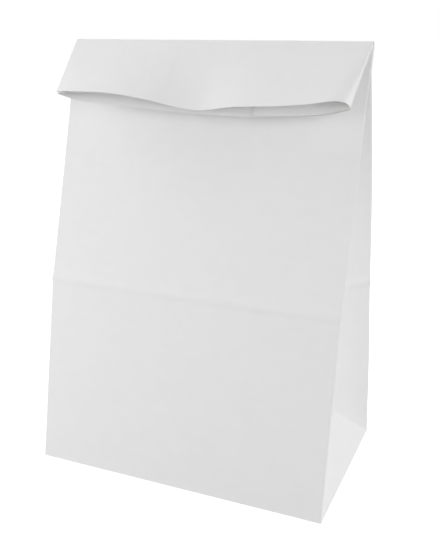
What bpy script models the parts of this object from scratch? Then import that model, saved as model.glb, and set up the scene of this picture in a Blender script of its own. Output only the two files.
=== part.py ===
"""A block-bottom paper bag, folded shut at the top, modelled as the one glued sheet that it is.

Metres, +Z up. The origin is the middle of the base, on the surface that the bag stands on.
The front panel faces -Y, and the mouth is folded once, forward and down over it.
The section of the bag is lofted up the tube: front panel, right gusset, back panel, left gusset.
Each side gusset has its real creases: a fold up its middle, and two folds that run at 45 degrees
from the corners of the base to that middle fold.
"""

import math
from collections import namedtuple

import bmesh
import bpy
from mathutils import Vector

# The bag
bag_width = 0.152  # across the front panel
bag_depth = 0.094  # across the base, and across each side gusset when it is flat
fold_height = 0.2113  # from the base to the crest of the top fold, over the seam
fold_setback = 0.0035  # how far behind the middle of the base the top fold stands
flap_length = 0.0345  # from the top fold to the mouth

# The sheet: each wall stands for one ply of paper
paper = 0.0003
ply_gap = 0.0003  # between plies that lie flat on each other
base_plies = 3  # glued plies of the base

# The glued seam that closes the tube: a lap of one more ply up the back
seam_setback = 0.0015  # from the middle fold of the left gusset, laid flat, to the lap
seam_width = 0.012
seam_edge = 0.0004  # along which each edge of the lap rises

# The crease that the folded bottom left right round the bag
crease_height = 0.0933
crease_opening = 0.0586  # front to back at that crease
half_crease_bulge = 0.0013  # how far the lower crease of the back stands out

# The closing of the top
pinch_height = 0.199  # where front and back meet, with the gussets flat between them
back_bow = 0.0022  # how far the upper back panel bows out

# The flap and the mouth
end_curl = 0.002  # how much nearer to the fold the mouth's ends lie, where the flap curls
draw_in = 0.045  # share of the width that the waves take up at the mouth
# From the left end to the right: place as a share of half the width, how many degrees the flap
# leans out from straight down, and how far its back ply stands off its front ply at the mouth
flap_stations = (
    (-1.0, 41, 0),
    (-0.85, 35, 0.0082),
    (-0.55, 35, 0.010),
    (-0.3, 32, 0.0087),
    (0.0, 28, 0.0031),
    (0.3, 27, 0.010),
    (0.6, 29, 0.0103),
    (0.85, 32.5, 0.010),
    (1.0, 38.5, 0),
)

# The folded base
flap_overlap = 0.012  # of the front bottom flap over the back one
flap_margin = 0.0015  # between a corner of the base and the tucked ply
lap_step = 0.0009  # along which the back flap rises to pass over the front one

# How finely the loft is divided
gusset_steps = 8
middle_steps = 4
corner_steps = 3
fold_steps = 6
flap_steps = 6

# Sizes that follow
ply = paper + ply_gap
turn = ply / 2  # radius of the middle of the sheet where it folds flat
stack = 3 * ply
half_width = (bag_width - paper) / 2
half_depth = (bag_depth - paper) / 2
gusset_half = bag_depth / 2
floor_top = base_plies * paper
fold_inner = ply  # radius of the front ply in the top fold
seam_ply = paper  # how far the lap stands out

# Points (y, z) on the middle of the sheet
front_base = Vector((-half_depth, 0))
back_base = Vector((half_depth, 0))
front_crease = Vector((-crease_opening / 2, crease_height))
back_crease = Vector((crease_opening / 2, crease_height))
fold_centre = Vector((fold_setback, fold_height - seam_ply - fold_inner - stack - paper / 2))

# The upper front panel is straight from the crease to the top fold
to_fold = fold_centre - front_crease
front_lean = math.atan2(to_fold.x, to_fold.y) + math.asin(fold_inner / to_fold.length)
upward = Vector((math.sin(front_lean), math.cos(front_lean)))
backward = Vector((math.cos(front_lean), -math.sin(front_lean)))
front_top = fold_centre + backward * fold_inner
front_pinch = front_crease + upward * (pinch_height - crease_height) / math.cos(front_lean)
back_pinch = front_pinch + backward * stack

# The bottom was once folded up against the back, which left a crease half a depth up the back
front_low = (front_crease - front_base).normalized()
back_low = (back_crease - back_base).normalized()
front_half = front_base + front_low * gusset_half
back_half = back_base + back_low * gusset_half + Vector((back_low.y, -back_low.x)) * half_crease_bulge

# The point where the two slanted folds meet the middle fold of the gusset: the triangle below it
# stays flat and leans in, so that point lies lower than the panels at the same length of paper
half_opening = (back_half - front_half).length / 2
level_height = (front_half.y + back_half.y) / 2
meeting_height = (half_opening**2 + level_height**2) / (2 * level_height)
meeting_dip = level_height - meeting_height

Level = namedtuple("Level", "front back rise dip turned slid")


def gusset_angle(opening, dip):
    """The angle between a panel and the gusset folded from it, and the length of its flat half."""
    reach = math.sqrt(gusset_half**2 - dip**2) - turn
    slack = math.hypot(reach, 2 * turn)
    return math.asin((opening / 2 - turn) / slack) - math.atan2(2 * turn, reach), reach


def lofted_levels():
    """The levels of the loft, from the base edge to the mouth."""
    levels = []
    for step in range(gusset_steps + 1):
        rise = step / gusset_steps
        front = front_base.lerp(front_half, rise)
        back = back_base.lerp(back_half, rise)
        levels.append(Level(front, back, rise, meeting_dip * rise, 0, 0))

    def dip_at(point):
        return meeting_dip * (pinch_height - point.y) / (pinch_height - level_height)

    for share in (0.5, 1):
        front = front_half.lerp(front_crease, share)
        back = back_half.lerp(back_crease, share)
        levels.append(Level(front, back, 1, dip_at(front), 0, 0))
    back_up = (back_pinch - back_crease).normalized()
    outward = Vector((back_up.y, -back_up.x))
    for share in (0.25, 0.5, 0.75, 1):
        front = front_crease.lerp(front_pinch, share)
        back = back_crease.lerp(back_pinch, share) + outward * back_bow * math.sin(math.pi * share)
        levels.append(Level(front, back, 1, max(0, dip_at(front)), 0, 0))
    levels.append(Level(front_top, front_top + backward * stack, 1, 0, 0, 0))
    for step in range(1, fold_steps + 1):
        levels.append(Level(front_top, None, 1, 0, step / fold_steps, 0))
    for step in range(1, flap_steps + 1):
        levels.append(Level(front_top, None, 1, 0, 1, flap_length * step / flap_steps))
    return levels


def flap_at(x):
    """The flap's angle from straight down and its opening at the mouth, on a smooth curve."""
    across = min(1, max(-1, x / half_width))
    places = [station[0] for station in flap_stations]
    last = len(places) - 1
    low = max(k for k in range(last) if places[k] <= across)
    span = places[low + 1] - places[low]
    share = (across - places[low]) / span

    def slope(k, part):
        before, after = max(0, k - 1), min(last, k + 1)
        rise = flap_stations[after][part] - flap_stations[before][part]
        return rise / (places[after] - places[before]) * span

    def between(part):
        start, end = flap_stations[low][part], flap_stations[low + 1][part]
        left = start + (3 * (end - start) - 2 * slope(low, part) - slope(low + 1, part)) * share**2
        left += slope(low, part) * share
        return left + (2 * (start - end) + slope(low, part) + slope(low + 1, part)) * share**3

    return math.radians(between(1)), max(0, between(2))


def place(level, x, depth, with_back):
    """A point of the bag, depth behind the front ply; with_back is 1 on plies that lie at the back."""
    if level.turned == 0:
        spot = level.front + (level.back - level.front).normalized() * depth
        return Vector((x, spot.x, spot.y))
    lean, opening = flap_at(x)
    angle = level.turned * (math.pi - lean + front_lean) - front_lean
    out = Vector((math.cos(angle), math.sin(angle)))
    along = Vector((-math.sin(angle), math.cos(angle)))
    down = level.slid / flap_length
    depth += with_back * opening * down**1.5
    slid = level.slid - end_curl * down * (x / half_width) ** 4
    spot = fold_centre + out * (fold_inner + depth) + along * slid
    return Vector((x * (1 - draw_in * down), spot.x, spot.y))


def opening_of(level):
    return stack if level.turned else (level.back - level.front).length


def gusset_half_section(level, skin):
    """From the front corner to the gusset's middle: (inward, depth, drop), skin outside the middle."""
    if level.rise < 1:
        angle, reach = gusset_angle(2 * half_opening, meeting_dip)
    else:
        angle, reach = gusset_angle(opening_of(level), level.dip)
    if level.rise == 0:
        angle = math.pi / 2
    points = []
    for step in range(corner_steps + 1):
        heading = math.pi + (angle - math.pi) * step / corner_steps
        radius = turn + skin
        points.append((turn - radius * math.sin(heading), turn + radius * math.cos(heading), 0))

    middle = opening_of(level) / 2
    start = Vector((turn - turn * math.sin(angle), turn + turn * math.cos(angle)))
    direction = Vector((math.cos(angle), math.sin(angle)))
    out_of_half = Vector((-direction.y, direction.x))
    out_of_triangle = Vector((-1, 0))
    mitre = (out_of_half + out_of_triangle) / (1 + out_of_half.dot(out_of_triangle))
    slanted = round(level.rise * gusset_steps)  # the column that the slanted fold has reached
    fold = start + direction * reach * level.rise
    last = middle - turn * math.cos(angle)
    for step in range(1, gusset_steps + 1):
        if step <= slanted:
            spot = start + direction * reach * step / gusset_steps
            side = mitre if step == slanted and level.rise < 1 else out_of_half
            drop = level.dip * step / slanted
        else:
            share = (step - slanted) / (gusset_steps - slanted)
            spot = Vector((fold.x, fold.y + (last - fold.y) * share))
            side = out_of_triangle
            drop = level.dip
        spot += side * skin
        points.append((spot.x, spot.y, drop))
    points.append((fold.x + turn * (1 - math.sin(angle)) * level.rise - skin, middle, level.dip))
    return points


def gusset_section(level, skin):
    """A whole gusset, front corner to back corner."""
    front_part = gusset_half_section(level, skin)
    whole = opening_of(level)
    return front_part + [(inward, whole - depth, drop) for inward, depth, drop in front_part[-2::-1]]


def panel_stations():
    """The x of the columns of a panel: those of the flat gussets under it, and some between."""
    _, reach = gusset_angle(stack, 0)
    sides = [half_width - turn - reach * step / gusset_steps for step in range(1, gusset_steps + 1)]
    inner = sides[-1]
    start, end = seam_edges(inner)
    lap = [start, start + seam_edge, end - seam_edge, end]
    between = [end + (inner - end) * step / middle_steps for step in range(1, middle_steps)]
    return [-x for x in sides] + lap + between + sides[::-1]


def seam_edges(inner):
    """The x of the two edges of the seam's lap; inner is the x of the right gusset's middle fold."""
    start = seam_setback - inner
    return start, start + seam_width


def loop_of(level, skin):
    """One closed section: front panel, right gusset, back panel, left gusset."""
    whole = opening_of(level)
    stations = panel_stations()
    start, end = seam_edges(stations[-gusset_steps])
    gusset = gusset_section(level, skin)

    def seam_at(x):
        """How far the outer skin stands out on the seam: nothing off its lap or at the base edge."""
        if skin < 0 or level.rise == 0:
            return 0
        return seam_ply * min(1, max(0, min(x - start, end - x) / seam_edge))
    loop = [place(level, x, -skin, 0) for x in stations]
    for inward, depth, drop in gusset:
        at_back = depth > whole - turn
        spot = place(level, half_width - inward, depth, 1 if at_back else 0)
        loop.append(spot - Vector((0, 0, drop)))
    loop += [place(level, x, whole + skin + seam_at(x), 1) for x in stations[::-1]]
    for inward, depth, drop in gusset[::-1]:
        at_front = depth < turn
        spot = place(level, inward - half_width, depth, 0 if at_front else 1)
        loop.append(spot - Vector((0, 0, drop)))
    return loop


def folded_sheet():
    """The closed wall of paper: an outer skin, an inner skin, the rim of the mouth and the base."""
    levels = lofted_levels()
    mesh = bmesh.new()
    outer = [[mesh.verts.new(p) for p in loop_of(level, paper / 2)] for level in levels]
    inner = [[mesh.verts.new(p) for p in loop_of(level, -paper / 2)] for level in levels]
    for vertex in inner[0]:
        vertex.co.z = floor_top

    count = len(outer[0])
    panel = len(panel_stations())
    gusset = (count - 2 * panel) // 2
    for column in range(count):
        following = (column + 1) % count
        # Past the middle of a gusset its slanted fold runs the other way
        along_gusset = (column - panel) % (panel + gusset)
        past_middle = gusset // 2 <= along_gusset < gusset
        for skin, rows in ((1, outer), (-1, inner)):
            for low, high in zip(rows, rows[1:]):
                a, b, c, d = low[column], low[following], high[following], high[column]
                halves = ((a, b, d), (b, c, d)) if past_middle else ((a, b, c), (a, c, d))
                for corners in halves:
                    mesh.faces.new(corners[::skin])
        mesh.faces.new((outer[-1][column], outer[-1][following], inner[-1][following], inner[-1][column]))
    mesh.faces.new(outer[0][::-1])
    mesh.faces.new(inner[0])
    data = bpy.data.meshes.new("paper_bag")
    mesh.to_mesh(data)
    mesh.free()
    return data


def base_recess():
    """What the folded base leaves open underneath: the tucked side plies, and the lap's step."""
    past = 0.004
    tip = half_width - half_depth + flap_margin
    edge = bag_width / 2 + past
    spread = edge - tip
    lap = flap_overlap / 2
    slope = math.sqrt(2)
    right = [
        (tip - lap, lap),
        (edge, -spread),
        (edge, spread),
        (tip + lap_step / slope, lap_step / slope),
        (tip - lap - lap_step + lap_step * slope, lap + lap_step),
    ]
    outline = right + [(-x, y) for x, y in right[::-1]]
    mesh = bmesh.new()
    face = mesh.faces.new([mesh.verts.new((x, y, -past)) for x, y in outline])
    raised = bmesh.ops.extrude_face_region(mesh, geom=[face])
    for item in raised["geom"]:
        if isinstance(item, bmesh.types.BMVert):
            item.co.z = paper
    bmesh.ops.recalc_face_normals(mesh, faces=mesh.faces)
    data = bpy.data.meshes.new("base_recess")
    mesh.to_mesh(data)
    mesh.free()
    return data


def white_paper():
    material = bpy.data.materials.new("white_paper")
    material.use_nodes = True
    shader = material.node_tree.nodes["Principled BSDF"]
    shader.inputs["Base Color"].default_value = (0.8, 0.8, 0.795, 1)
    shader.inputs["Roughness"].default_value = 0.75
    shader.inputs["Metallic"].default_value = 0
    return material


for leftover in list(bpy.data.objects):
    bpy.data.objects.remove(leftover)

cutter = bpy.data.objects.new("base_recess", base_recess())
bpy.context.scene.collection.objects.link(cutter)
cutter.hide_render = True
cutter.display_type = "WIRE"

bag = bpy.data.objects.new("paper_bag", folded_sheet())
bpy.context.scene.collection.objects.link(bag)
bag.data.materials.append(white_paper())
bag.data.shade_smooth()
bag.data.set_sharp_from_angle(angle=math.radians(28))
underside = bag.modifiers.new("underside", "BOOLEAN")
underside.operation = "DIFFERENCE"
underside.object = cutter
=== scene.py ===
import math
from collections import namedtuple

import bmesh
import bpy
import numpy as np
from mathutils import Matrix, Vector, noise


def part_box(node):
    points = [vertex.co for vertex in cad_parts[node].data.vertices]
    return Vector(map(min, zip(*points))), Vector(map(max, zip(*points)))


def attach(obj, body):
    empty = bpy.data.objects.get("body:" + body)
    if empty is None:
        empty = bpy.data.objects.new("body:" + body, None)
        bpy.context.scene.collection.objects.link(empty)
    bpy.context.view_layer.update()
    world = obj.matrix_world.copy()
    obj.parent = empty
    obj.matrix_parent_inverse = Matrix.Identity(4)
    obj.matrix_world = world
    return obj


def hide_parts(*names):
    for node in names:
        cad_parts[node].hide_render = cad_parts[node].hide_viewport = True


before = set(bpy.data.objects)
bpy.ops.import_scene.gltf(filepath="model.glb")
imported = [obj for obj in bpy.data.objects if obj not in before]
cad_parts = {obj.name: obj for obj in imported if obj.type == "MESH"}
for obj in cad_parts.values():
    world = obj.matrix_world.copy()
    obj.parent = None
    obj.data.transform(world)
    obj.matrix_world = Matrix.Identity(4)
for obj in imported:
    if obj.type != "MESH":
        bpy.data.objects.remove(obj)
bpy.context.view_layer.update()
for thing in bpy.context.selected_objects:
    thing.select_set(False)

# The paper bag
# One sheet of thin bleached kraft paper, glued into a tube with a gusset down each side and folded shut
# at the bottom. It was folded flat when it was made and keeps those creases. Since it was opened out,
# its flat top has been folded once, forward and down over the front.
lowest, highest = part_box("paper_bag")
bag_width, bag_depth, fold_height = Vector(highest) - Vector(lowest)
edge_clearance = 0.00001
fold_setback = 0.0035
flap_length = 0.0345
paper = 0.0002
ply = 0.0006
turn = ply / 2
stack = 3 * ply
half_width = (bag_width - paper) / 2
half_depth = (bag_depth - paper) / 2
gusset_half = bag_depth / 2
fold_inner = ply

# The lengthwise seam, on the back: the room that its extra ply takes up over the top fold, the step at
# its edges, its distance from the inner fold of the flat gusset, its width, and how wide a step is
seam_ply = 0.0003
seam_step = 0.00004
seam_setback = 0.0015
seam_width = 0.012
seam_edge = 0.0002

# The ring crease, all round the bag: its height, and the opening there from front to back. Then how far
# the back bulges at the half crease below, where the plies meet at the top and how gradually, and how
# far the back bows out above the ring.
crease_height = 0.0933
crease_opening = 0.0586
half_crease_bulge = 0.0018
pinch_height = 0.199
pinch_softness = 0.02
back_bow = 0.0032

# The corners of the side view, as places front to back and up. The slanted folds of a gusset meet at the
# half crease, as far up each panel as half a gusset is wide, and its middle hangs lower from there up.
front_base = Vector((-half_depth, 0))
back_base = Vector((half_depth, 0))
front_crease = Vector((-crease_opening / 2, crease_height))
back_crease = Vector((crease_opening / 2, crease_height))
fold_centre = Vector((fold_setback, fold_height - seam_ply - fold_inner - stack - paper / 2))
to_fold = fold_centre - front_crease
front_lean = math.atan2(to_fold.x, to_fold.y) + math.asin(fold_inner / to_fold.length)
upward = Vector((math.sin(front_lean), math.cos(front_lean)))
backward = Vector((math.cos(front_lean), -math.sin(front_lean)))
front_top = fold_centre + backward * fold_inner
front_pinch = front_crease + upward * (pinch_height - crease_height) / math.cos(front_lean)

front_low = (front_crease - front_base).normalized()
back_low = (back_crease - back_base).normalized()
front_half = front_base + front_low * gusset_half
back_half = back_base + back_low * gusset_half + Vector((back_low.y, -back_low.x)) * half_crease_bulge
half_opening = (back_half - front_half).length / 2
level_height = (front_half.y + back_half.y) / 2
meeting_height = (half_opening**2 + level_height**2) / (2 * level_height)
meeting_dip = level_height - meeting_height

# The flap, from its left end to its right: the place as a share of half the width, the degrees that
# the flap leans out from straight down, and how far its back plies stand off its front ply at the mouth
flap_stations = (
    (-1.0, 44, 0),
    (-0.85, 38, 0.0065),
    (-0.55, 36, 0.0092),
    (-0.3, 32, 0.0087),
    (0.0, 28, 0.0031),
    (0.3, 27, 0.010),
    (0.6, 29, 0.0103),
    (0.84, 32.5, 0.0098),
    (1.0, 38.5, 0.009),
)

# How the flap's plies part on the way down, the share of its right end where they close in a round,
# how much its ends curl up and draw in at the mouth, and how far the fold's left end is pulled in
flare_power = 1.2
round_end = 0.16
end_curl = 0.002
draw_in = 0.045
left_pull = 0.0021

# How finely the sheet is divided: in the middle of a panel, next to a crease and how far from it,
# across a gusset half and as far up, round a corner, over the top fold and down the flap
cell = 0.0016
fine_cell = 0.0006
fine_reach = 0.0045
gusset_steps = 30
corner_steps = 3
fold_steps = 8
flap_steps = 20
gusset_shares = [0, 0.021] + [step / gusset_steps for step in range(1, gusset_steps + 1)]

# A level of the tube: its front and back plies in the side view, how far up the slanted folds it is,
# how far the gusset's middle hangs below the panels, its turn over the top fold, its way down the flap
Level = namedtuple("Level", "front back rise dip turned slid")


def graded(length, fine_start, fine_end):
    """Shares of a length, without 0 and with 1, closer together next to a crease at either end."""
    inner = length - fine_reach * (fine_start + fine_end)
    shares = []
    fine = round(fine_reach / fine_cell)
    if fine_start:
        shares += [fine_reach / length * step / fine for step in range(1, fine + 1)]
    coarse = round(inner / cell)
    begin = fine_reach * fine_start
    shares += [(begin + inner * step / coarse) / length for step in range(1, coarse + 1)]
    if fine_end:
        shares += [1 - fine_reach / length * (fine - step) / fine for step in range(1, fine + 1)]
    return shares


def levels_of_the_tube():
    """The levels of the sheet, from the base edge to the mouth."""
    levels = []
    for rise in gusset_shares:
        front = front_base.lerp(front_half, rise)
        back = back_base.lerp(back_half, rise)
        levels.append(Level(front, back, rise, meeting_dip * rise, 0, 0))

    def dip_at(point):
        return max(0, meeting_dip * (pinch_height - point.y) / (pinch_height - level_height))

    for share in graded(gusset_half, True, True):
        front = front_half.lerp(front_crease, share)
        back = back_half.lerp(back_crease, share)
        levels.append(Level(front, back, 1, dip_at(front), 0, 0))
    whole = (front_top - front_crease).length
    pinch = (front_pinch - front_crease).length
    for share in graded(whole, True, False):
        along = share * whole / pinch
        front = front_crease.lerp(front_top, share)
        still_open = (1 - along + math.hypot(1 - along, pinch_softness)) / 2
        bow = back_bow * math.sin(math.pi * min(1, along))
        back = front + Vector((crease_opening * still_open + bow, 0))
        back += backward * stack * (1 - still_open)
        levels.append(Level(front, back, 1, dip_at(front), 0, 0))
    for step in range(1, fold_steps + 1):
        levels.append(Level(front_top, None, 1, 0, step / fold_steps, 0))
    for step in range(1, flap_steps + 1):
        levels.append(Level(front_top, None, 1, 0, 1, flap_length * step / flap_steps))
    return levels


def gusset_angle(opening, dip):
    """The angle between a panel and the gusset folded from it, and the length of its flat half."""
    reach = math.sqrt(gusset_half**2 - dip**2) - turn
    slack = math.hypot(reach, 2 * turn)
    return math.asin((opening / 2 - turn) / slack) - math.atan2(2 * turn, reach), reach


def flap_at(x):
    """The flap's angle from straight down and its opening at the mouth, through its stations."""
    across = min(1, max(-1, x / half_width))
    places = [station[0] for station in flap_stations]
    last = len(places) - 1
    low = max(k for k in range(last) if places[k] <= across)
    span = places[low + 1] - places[low]
    share = (across - places[low]) / span

    def slope(k, part):
        before, after = max(0, k - 1), min(last, k + 1)
        rise = flap_stations[after][part] - flap_stations[before][part]
        return rise / (places[after] - places[before]) * span

    def between(part):
        start, end = flap_stations[low][part], flap_stations[low + 1][part]
        value = start + (3 * (end - start) - 2 * slope(low, part) - slope(low + 1, part)) * share**2
        value += slope(low, part) * share
        return value + (2 * (start - end) + slope(low, part) + slope(low + 1, part)) * share**3

    rounded = math.sqrt(1 - max(0, (across - 1 + round_end) / round_end) ** 2)
    return math.radians(between(1)), max(0, between(2)) * rounded


def place(level, x, depth, with_back):
    """A point of the sheet, depth behind the front ply; with_back is 1 on the plies that stand off."""
    if level.turned == 0:
        spot = level.front + (level.back - level.front).normalized() * depth
        return Vector((x, spot.x, spot.y))
    lean, opening = flap_at(x)
    angle = level.turned * (math.pi - lean + front_lean) - front_lean
    out = Vector((math.cos(angle), math.sin(angle)))
    along = Vector((-math.sin(angle), math.cos(angle)))
    down = level.slid / flap_length
    depth += with_back * opening * down**flare_power
    slid = level.slid - end_curl * down * (x / half_width) ** 4
    spot = fold_centre + out * (fold_inner + depth) + along * slid
    pull = left_pull * level.turned * (1 - down) * max(0, -x / half_width) ** 3
    return Vector((x * (1 - draw_in * down) + pull, spot.x, spot.y))


def opening_of(level):
    """How far apart the front and back plies are."""
    return stack if level.turned else (level.back - level.front).length


def gusset_half_section(level):
    """From the front corner to the gusset's middle: (inward, depth, drop) of each point."""
    if level.rise < 1:
        angle, reach = gusset_angle(2 * half_opening, meeting_dip)
    else:
        angle, reach = gusset_angle(opening_of(level), level.dip)
    last = opening_of(level) / 2 - turn * math.cos(angle)
    if level.rise == 0:
        angle = math.pi / 2
    points = []
    for step in range(corner_steps + 1):
        heading = math.pi + (angle - math.pi) * step / corner_steps
        points.append((turn - turn * math.sin(heading), turn + turn * math.cos(heading), 0))
    middle = opening_of(level) / 2
    start = Vector((turn - turn * math.sin(angle), turn + turn * math.cos(angle)))
    direction = Vector((math.cos(angle), math.sin(angle)))
    fold = start + direction * reach * level.rise
    for share in gusset_shares[1:]:
        if share <= level.rise:
            spot = start + direction * reach * share
            drop = level.dip * share / level.rise
        else:
            past = (share - level.rise) / (1 - level.rise)
            spot = Vector((fold.x, fold.y + (last - fold.y) * past))
            drop = level.dip
        points.append((spot.x, spot.y, drop))
    points.append((fold.x + turn * (1 - math.sin(angle)) * level.rise, middle, level.dip))
    return points


# Across a panel, from its middle: the inner folds of the gussets when they lie flat, and the seam
flat_reach = gusset_angle(stack, 0)[1]
gusset_middle = half_width - turn - flat_reach
seam_start = seam_setback - gusset_middle
seam_end = seam_start + seam_width


def panel_stations():
    """The x of the columns of a panel: those of the flat gussets under it, and some between."""
    sides = [half_width - turn - flat_reach * share for share in gusset_shares[1:]]
    between = [seam_start, seam_start + seam_edge]
    inside = round(seam_width / cell)
    between += [seam_start + seam_width * step / inside for step in range(1, inside)]
    between += [seam_end - seam_edge, seam_end]
    past = round((gusset_middle - seam_end) / cell)
    between += [seam_end + (gusset_middle - seam_end) * step / past for step in range(1, past)]
    return [-x for x in sides] + between + sides[::-1]


def section_at(level):
    """One closed section: front panel, right gusset, back panel, left gusset."""
    whole = opening_of(level)
    front_part = gusset_half_section(level)
    gusset = front_part + [(inward, whole - depth, drop) for inward, depth, drop in front_part[-2::-1]]
    section = [place(level, x, 0, 0) for x in stations]
    for inward, depth, drop in gusset:
        at_back = depth > whole - turn
        spot = place(level, half_width - inward, depth, 1 if at_back else 0)
        section.append(spot - Vector((0, 0, drop)))
    section += [place(level, x, whole, 1) for x in stations[::-1]]
    for inward, depth, drop in gusset[::-1]:
        at_front = depth < turn
        spot = place(level, inward - half_width, depth, 0 if at_front else 1)
        section.append(spot - Vector((0, 0, drop)))
    return section


def bisectors(grid, axis, closed):
    """The sheet's direction at each point, halfway between the two stretches that meet there."""
    steps = np.diff(grid, axis=axis)
    if closed:
        steps = np.roll(grid, -1, axis=axis) - grid
    length = np.linalg.norm(steps, axis=2, keepdims=True)
    steps = steps / np.maximum(length, 1e-9)
    if closed:
        return steps + np.roll(steps, 1, axis=axis)
    first = np.take(steps, [0], axis=axis)
    last = np.take(steps, [-1], axis=axis)
    return np.concatenate((first, steps), axis=axis) + np.concatenate((steps, last), axis=axis)


def outward_normals(grid):
    """The way out of the tube at each point of the sheet."""
    across = bisectors(grid, 1, True)
    along = bisectors(grid, 0, False)
    normals = np.cross(across, along)
    return normals / np.linalg.norm(normals, axis=2, keepdims=True)


# The middle of the paper, as rows of points round the tube
stations = panel_stations()
panel = len(stations)
levels = levels_of_the_tube()
grid = np.array([[tuple(spot) for spot in section_at(level)] for level in levels])
rows, count = grid.shape[:2]
gusset = count // 2 - panel
normals = outward_normals(grid)

# Where each point lies on the flat sheet: round the tube, and up from the edge of the base
crease_row = len(gusset_shares) + len(graded(gusset_half, True, True)) - 1
round_steps = np.linalg.norm(np.roll(grid[crease_row], -1, axis=0) - grid[crease_row], axis=1)
flat_round = np.concatenate(([0], np.cumsum(round_steps)))
middle_column = min(range(panel), key=lambda column: abs(stations[column]))
flat_up = np.concatenate(
    ([0], np.cumsum(np.linalg.norm(np.diff(grid[:, middle_column], axis=0), axis=1)))
)
front_x = (flat_round[:-1] - flat_round[middle_column])[None, :]
height_up = flat_up[:, None]


def rounded_ridge(share):
    """The height of a ridge, from 1 on its crest to 0 at its reach."""
    return np.cos(np.minimum(1, share) * math.pi / 2) ** 2


def soft_crease(start, end, reach, height):
    """A ridge along a line of the front panel, which fades out over twice its reach past its ends."""
    run, rise = end[0] - start[0], end[1] - start[1]
    length = math.hypot(run, rise)
    along = ((front_x - start[0]) * run + (height_up - start[1]) * rise) / length
    aside = ((front_x - start[0]) * rise - (height_up - start[1]) * run) / length
    past = np.maximum(0, np.maximum(-along, along - length))
    return height * rounded_ridge(np.hypot(aside, past / 2) / reach)


# The ring that the folded bottom left all round, a little above the crease, and the foot, where the
# wall spreads out to its full depth
ring_height = 0.00045
ring_reach = 0.004
ring_lift = 0.001
foot_flare = 0.0002
foot_reach = 0.0018
ring = np.abs(height_up - flat_up[crease_row] - ring_lift) / ring_reach
relief = ring_height * rounded_ridge(ring) * np.ones((1, count))
relief -= foot_flare * (1 - np.exp(-height_up / foot_reach))

# Faint creases in the front, from the folded bottom pressed against it and from handling: start and
# end, across from the middle and up from the base, half the width, and the height or depth
faint_creases = (
    ((-0.070, 0.0483), (-0.034, 0.0483), 0.0028, 0.00006),
    ((0.038, 0.0483), (0.070, 0.0483), 0.0028, 0.00006),
    ((-0.0355, 0.0402), (-0.021, 0.0553), 0.0022, -0.00005),
    ((0.0255, 0.180), (0.0245, 0.152), 0.0045, 0.00012),
    ((0.018, 0.1476), (0.0097, 0.1446), 0.003, 0.00006),
    ((0.0685, 0.049), (0.0685, 0.019), 0.005, 0.00005),
)
for start, end, reach, height in faint_creases:
    relief += soft_crease(start, end, reach, height)

# Slight waves of the whole sheet, which the stiff foot lacks
wave_height = 0.00008
wave_size = 0.024
stiff_foot = 0.01
waves = np.array([[noise.noise(Vector(spot) / wave_size) for spot in line] for line in grid])
relief += wave_height * waves * (1 - np.exp(-height_up / stiff_foot))

# The lap of the seam stands up on the back by a thin step
back_stations = np.array(stations[::-1])
on_seam = (back_stations > seam_start + seam_edge / 2) & (back_stations < seam_end - seam_edge / 2)
relief[1:, panel + gusset : 2 * panel + gusset] += seam_step * on_seam

# The two skins of the paper. The inner one can't be seen on the walls, so it has fewer rows there.
outer_skin = grid + normals * (relief + paper / 2)[:, :, None]
limit = bag_width / 2 - edge_clearance
outer_skin[:, :, 0] = np.clip(outer_skin[:, :, 0], -limit, limit)
top_row = next(row for row, level in enumerate(levels) if level.turned)
wall_rows = range(len(gusset_shares) + 1, top_row - 1)
inner_rows = [row for row in range(rows) if row not in wall_rows or row % 3 == 0 or row == crease_row]
inner_skin = (grid - normals * paper / 2)[inner_rows]

# The foot: the wall turns under along a small radius, and the tucked side plies lie one ply higher
foot_radius = turn
foot_angles = (90, 60, 30)
base_ply = paper
across = np.roll(grid[0], -1, axis=0) - np.roll(grid[0], 1, axis=0)
across /= np.linalg.norm(across, axis=1, keepdims=True)
inward = np.stack((-across[:, 1], across[:, 0], 0 * across[:, 0]), axis=1)
column = np.arange(count)
in_right = (column > panel + corner_steps // 2) & (column < panel + gusset - 1 - corner_steps // 2)
in_left = (column > 2 * panel + gusset + corner_steps // 2) & (column < count - 1 - corner_steps // 2)
raised = np.where(in_right | in_left, base_ply, 0.0)
wall_foot = outer_skin[0].copy()
wall_foot[:, 2] = foot_radius + raised
outer_skin[0] = wall_foot
foot_rows = []
for angle in foot_angles:
    bend = math.radians(angle)
    line = wall_foot + inward * foot_radius * (1 - math.cos(bend))
    line[:, 2] = foot_radius * (1 - math.sin(bend)) + raised
    foot_rows.append(line)
outer_skin = np.concatenate((np.array(foot_rows), outer_skin))
inner_skin = inner_skin[1:]
flat_up_outer = np.concatenate((-foot_radius * np.radians(foot_angles), flat_up))
flat_up_inner = flat_up[inner_rows][1:]

# The glued base underneath: the front bottom flap laps over the back one, and the side plies are
# tucked in one ply above them
flap_overlap = 0.012
lap_step = 0.0009
lap = flap_overlap / 2
tip = half_width - half_depth + foot_radius / 2
slope = lap_step / math.sqrt(2)

mesh = bmesh.new()
flat_map = mesh.loops.layers.uv.new("flat_sheet")
outer = [[mesh.verts.new(spot) for spot in line] for line in outer_skin]
inner = [[mesh.verts.new(spot) for spot in line] for line in inner_skin]
first_fold_row = len(foot_angles)


def lay_flat(face, places):
    """Gives the corners of a face their places on the flat sheet."""
    for corner, spot in zip(face.loops, places):
        corner[flat_map].uv = spot


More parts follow.
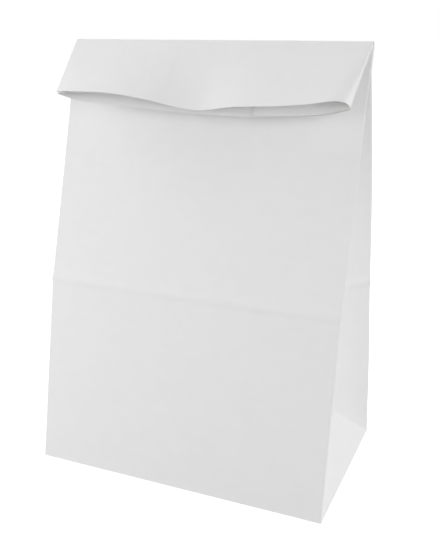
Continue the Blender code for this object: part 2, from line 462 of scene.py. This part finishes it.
def weave_skin(lines, heights, facing, fold_row):
    """The faces of one skin, with the cells on a slanted fold split along it."""
    for row, (low, high) in enumerate(zip(lines, lines[1:])):
        steps_up = row - fold_row
        for here in range(count):
            after = (here + 1) % count
            left, right = flat_round[here], flat_round[here + 1]
            bottom, top = heights[row], heights[row + 1]
            corners = [low[here], low[after], high[after], high[here]]
            places = [(left, bottom), (right, bottom), (right, top), (left, top)]
            into_gusset = (here - panel) % (panel + gusset)
            pieces_of_cell = [(0, 1, 2, 3)]
            if 0 <= steps_up < len(gusset_shares) - 1:
                if steps_up == into_gusset - corner_steps:
                    pieces_of_cell = [(0, 1, 2), (0, 2, 3)]
                if steps_up == gusset - 2 - corner_steps - into_gusset:
                    pieces_of_cell = [(0, 1, 3), (1, 2, 3)]
            for piece in pieces_of_cell:
                order = piece[::facing]
                face = mesh.faces.new([corners[k] for k in order])
                lay_flat(face, [places[k] for k in order])


weave_skin(outer, flat_up_outer, 1, first_fold_row)
weave_skin(inner, flat_up_inner, -1, -1)

# The cut edge of the paper at the mouth, and the floor of the inside
for here in range(count):
    after = (here + 1) % count
    rim = mesh.faces.new((outer[-1][here], outer[-1][after], inner[-1][after], inner[-1][here]))
    top = flat_up[-1]
    lay_flat(rim, [(flat_round[here], top), (flat_round[here + 1], top)] * 2)
mesh.faces.new(inner[0])


def underside():
    """The faces under the base: the front flap, the back flap, and the plies tucked in at the sides."""
    sole = outer[0]
    right = slice(panel + corner_steps // 2 + 1, panel + gusset - 1 - corner_steps // 2)
    left = slice(2 * panel + gusset + corner_steps // 2 + 1, count - 1 - corner_steps // 2)
    side_right, side_left = sole[right], sole[left]
    front_line = sole[left.stop :] + sole[: right.start]
    back_line = sole[right.stop : left.start]

    def corners(x, y):
        """A corner on the right and one on the left, each at the foot and one ply up."""
        return [[mesh.verts.new((side * x, y, z)) for z in (0.0, base_ply)] for side in (1, -1)]

    lap_right, lap_left = corners(tip - lap, lap)
    tuck_right, tuck_left = corners(tip + slope, slope)
    back_right, back_left = corners(tip - lap - lap_step + 2 * slope, lap + lap_step)
    front_flap = front_line + [lap_right[0], lap_left[0]]
    back_flap = back_line + [tuck_left[0], back_left[0], back_right[0], tuck_right[0]]
    behind = [tuck_right[1], back_right[1], back_left[1], tuck_left[1]]
    tucked = side_right + behind + side_left + [lap_left[1], lap_right[1]]
    for outline in (front_flap, back_flap, tucked):
        mesh.faces.new(outline[::-1])
    flap_edges = [
        (front_line[-1], lap_right[0], lap_right[1], side_right[0]),
        (lap_right[0], lap_left[0], lap_left[1], lap_right[1]),
        (lap_left[0], front_line[0], side_left[-1], lap_left[1]),
        (tuck_right[0], back_line[0], side_right[-1], tuck_right[1]),
        (back_line[-1], tuck_left[0], tuck_left[1], side_left[0]),
        (tuck_left[0], back_left[0], back_left[1], tuck_left[1]),
        (back_left[0], back_right[0], back_right[1], back_left[1]),
        (back_right[0], tuck_right[0], tuck_right[1], back_right[1]),
    ]
    for edge in flap_edges:
        mesh.faces.new(edge)


crease_angle = 28
underside()
bmesh.ops.recalc_face_normals(mesh, faces=mesh.faces)
data = bpy.data.meshes.new("folded_sheet")
mesh.to_mesh(data)
mesh.free()
sheet = bpy.data.objects.new("folded_sheet", data)
bpy.context.collection.objects.link(sheet)
bpy.context.view_layer.objects.active = sheet
sheet.select_set(True)
bpy.ops.object.shade_smooth_by_angle(angle=math.radians(crease_angle), keep_sharp_edges=True)
sheet.select_set(False)
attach(sheet, "root")
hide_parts("paper_bag")

# The finish of the paper: machine-finished bleached kraft, matt, cloudy where its fibres lie thicker,
# with fine fibres that run round the tube and a rare dark fleck
paper_white = (0.9, 0.9, 0.898, 1)
fibre_relief = 0.00005
cockle_relief = 0.00006
bleached_kraft = bpy.data.materials.new("bleached_kraft")
bleached_kraft.use_nodes = True
nodes = bleached_kraft.node_tree.nodes
links = bleached_kraft.node_tree.links
shader = nodes["Principled BSDF"]
shader.inputs["Specular IOR Level"].default_value = 0.25
on_sheet = nodes.new("ShaderNodeUVMap")
on_sheet.uv_map = "flat_sheet"


def sheet_noise(across, up, detail, roughness):
    """Noise on the flat sheet, with the size of its clouds round the tube and up it in metres."""
    stretch = nodes.new("ShaderNodeMapping")
    stretch.inputs["Scale"].default_value = (1 / across, 1 / up, 1)
    clouds = nodes.new("ShaderNodeTexNoise")
    clouds.inputs["Scale"].default_value = 1
    clouds.inputs["Detail"].default_value = detail
    clouds.inputs["Roughness"].default_value = roughness
    links.new(on_sheet.outputs["UV"], stretch.inputs["Vector"])
    links.new(stretch.outputs["Vector"], clouds.inputs["Vector"])
    return clouds.outputs["Fac"]


def spread(value, first, last, low=0.3, high=0.7):
    """A value from low to high taken to one from first to last. Most noise lies from 0.3 to 0.7."""
    span = nodes.new("ShaderNodeMapRange")
    for name, number in (("From Min", low), ("From Max", high), ("To Min", first), ("To Max", last)):
        span.inputs[name].default_value = number
    links.new(value, span.inputs["Value"])
    return span.outputs["Result"]


def product(first, second):
    """Two shades, one over the other."""
    step = nodes.new("ShaderNodeMath")
    step.operation = "MULTIPLY"
    links.new(first, step.inputs[0])
    links.new(second, step.inputs[1])
    return step.outputs["Value"]


def relief_of(height, distance):
    """Relief as deep as a distance in metres."""
    bump = nodes.new("ShaderNodeBump")
    bump.inputs["Distance"].default_value = distance
    bump.inputs["Strength"].default_value = 1
    links.new(height, bump.inputs["Height"])
    return bump


formation = spread(sheet_noise(0.009, 0.006, 4, 0.6), 0.985, 1.0)
fibre_tone = spread(sheet_noise(0.0016, 0.0004, 3, 0.6), 0.99, 1.0)
fleck = spread(sheet_noise(0.0011, 0.0009, 1, 0.5), 1.0, 0.5, 0.835, 0.85)
paper_tint = nodes.new("ShaderNodeMix")
paper_tint.data_type = "RGBA"
paper_tint.inputs["A"].default_value = (0, 0, 0, 1)
paper_tint.inputs["B"].default_value = paper_white
links.new(product(product(formation, fibre_tone), fleck), paper_tint.inputs["Factor"])
links.new(paper_tint.outputs["Result"], shader.inputs["Base Color"])
links.new(spread(sheet_noise(0.004, 0.003, 3, 0.6), 0.7, 0.82), shader.inputs["Roughness"])

fibres = relief_of(sheet_noise(0.0015, 0.0005, 4, 0.65), fibre_relief)
cockle = relief_of(sheet_noise(0.008, 0.005, 3, 0.5), cockle_relief)
links.new(cockle.outputs["Normal"], fibres.inputs["Normal"])
links.new(fibres.outputs["Normal"], shader.inputs["Normal"])

sheet.data.materials.append(bleached_kraft)

# The table
# A plain matt table. To the light it is grey, so that it throws only a little of it up at the bag, and
# to the eye it is plain white.
table_size = 8
table_drop = 0.0001
bpy.ops.mesh.primitive_plane_add(size=table_size, location=(0, 0, -table_drop))
ground = bpy.context.object
ground.name = "ground"
ground.select_set(False)
table_top = bpy.data.materials.new("white_table")
table_top.use_nodes = True
nodes = table_top.node_tree.nodes
links = table_top.node_tree.links
matt = nodes["Principled BSDF"]
matt.inputs["Base Color"].default_value = (0.5, 0.5, 0.5, 1)
matt.inputs["Roughness"].default_value = 0.9
matt.inputs["Emission Color"].default_value = (1, 1, 1, 1)
path = nodes.new("ShaderNodeLightPath")
links.new(path.outputs["Is Camera Ray"], matt.inputs["Emission Strength"])
ground.data.materials.append(table_top)

# The light
# A faint white surround, which is plain white where it is seen straight, mirrored or through something.
# Soft square lamps stand all round, most of them low, so that light gets in under the flap and into
# the side folds. One is near, on the left, so that the front darkens to the right.
world = bpy.data.worlds.new("surround")
bpy.context.scene.world = world
world.use_nodes = True
nodes = world.node_tree.nodes
links = world.node_tree.links
faint_glow = nodes["Background"]
faint_glow.inputs["Color"].default_value = (1, 1, 1, 1)
faint_glow.inputs["Strength"].default_value = 0.3
plain_white = nodes.new("ShaderNodeBackground")
plain_white.inputs["Color"].default_value = (1, 1, 1, 1)
plain_white.inputs["Strength"].default_value = 1
path = nodes.new("ShaderNodeLightPath")
straight_or_mirrored = nodes.new("ShaderNodeMath")
links.new(path.outputs["Is Camera Ray"], straight_or_mirrored.inputs[0])
links.new(path.outputs["Is Glossy Ray"], straight_or_mirrored.inputs[1])
seen = nodes.new("ShaderNodeMath")
seen.use_clamp = True
links.new(straight_or_mirrored.outputs["Value"], seen.inputs[0])
links.new(path.outputs["Is Transmission Ray"], seen.inputs[1])
surround = nodes.new("ShaderNodeMixShader")
links.new(seen.outputs["Value"], surround.inputs[0])
links.new(faint_glow.outputs["Background"], surround.inputs[1])
links.new(plain_white.outputs["Background"], surround.inputs[2])
links.new(surround.outputs["Shader"], nodes["World Output"].inputs["Surface"])

lamp_spread = 0.58
far_away = 1.2
near_by = 0.55


def soft_lamp(name, turned_by, raised_by, power, away):
    """A square lamp that faces the bag, at degrees to the right of its front and above its middle."""
    lamp = bpy.data.lights.new(name, "AREA")
    lamp.size = lamp_spread * away
    lamp.energy = power
    holder = bpy.data.objects.new(name, lamp)
    bpy.context.collection.objects.link(holder)
    round_it, up = math.radians(turned_by), math.radians(raised_by)
    way = Vector((math.sin(round_it) * math.cos(up), -math.cos(round_it) * math.cos(up), math.sin(up)))
    holder.location = Vector((0, 0, fold_height / 2)) + way * away
    holder.rotation_euler = (-way).to_track_quat("-Z", "Y").to_euler()


soft_lamp("left_lamp", -90, 35, 4.2, far_away)
soft_lamp("low_left_lamp", -50, 10, 1.05, near_by)
soft_lamp("low_front_lamp", 30, 4, 1.8, far_away)
soft_lamp("low_right_lamp", 60, 12, 4.2, far_away)
soft_lamp("right_lamp", 90, 35, 1.3, far_away)
soft_lamp("back_right_lamp", 135, 12, 3.0, far_away)
soft_lamp("back_lamp", 180, 60, 3.0, far_away)
soft_lamp("back_left_lamp", -135, 12, 1.8, far_away)

# The camera
# It stands to the right of the front and looks a little down at the bag. Its place, its turn in degrees
# and its lens in millimetres were fitted to the corners and creases of the bag.
camera_spot = (0.15025, -0.33934, 0.21636)
camera_yaw = 23.13
camera_pitch = 17.96
camera_roll = -0.06
lens = 49.99
film_width = 36
camera = bpy.data.objects.new("camera", bpy.data.cameras.new("camera"))
bpy.context.collection.objects.link(camera)
camera.data.lens = lens
camera.data.sensor_width = film_width
camera.location = camera_spot
camera.rotation_euler = [math.radians(angle) for angle in (90 - camera_pitch, camera_roll, camera_yaw)]
bpy.context.scene.camera = camera
bpy.context.scene.view_settings.view_transform = "Standard"
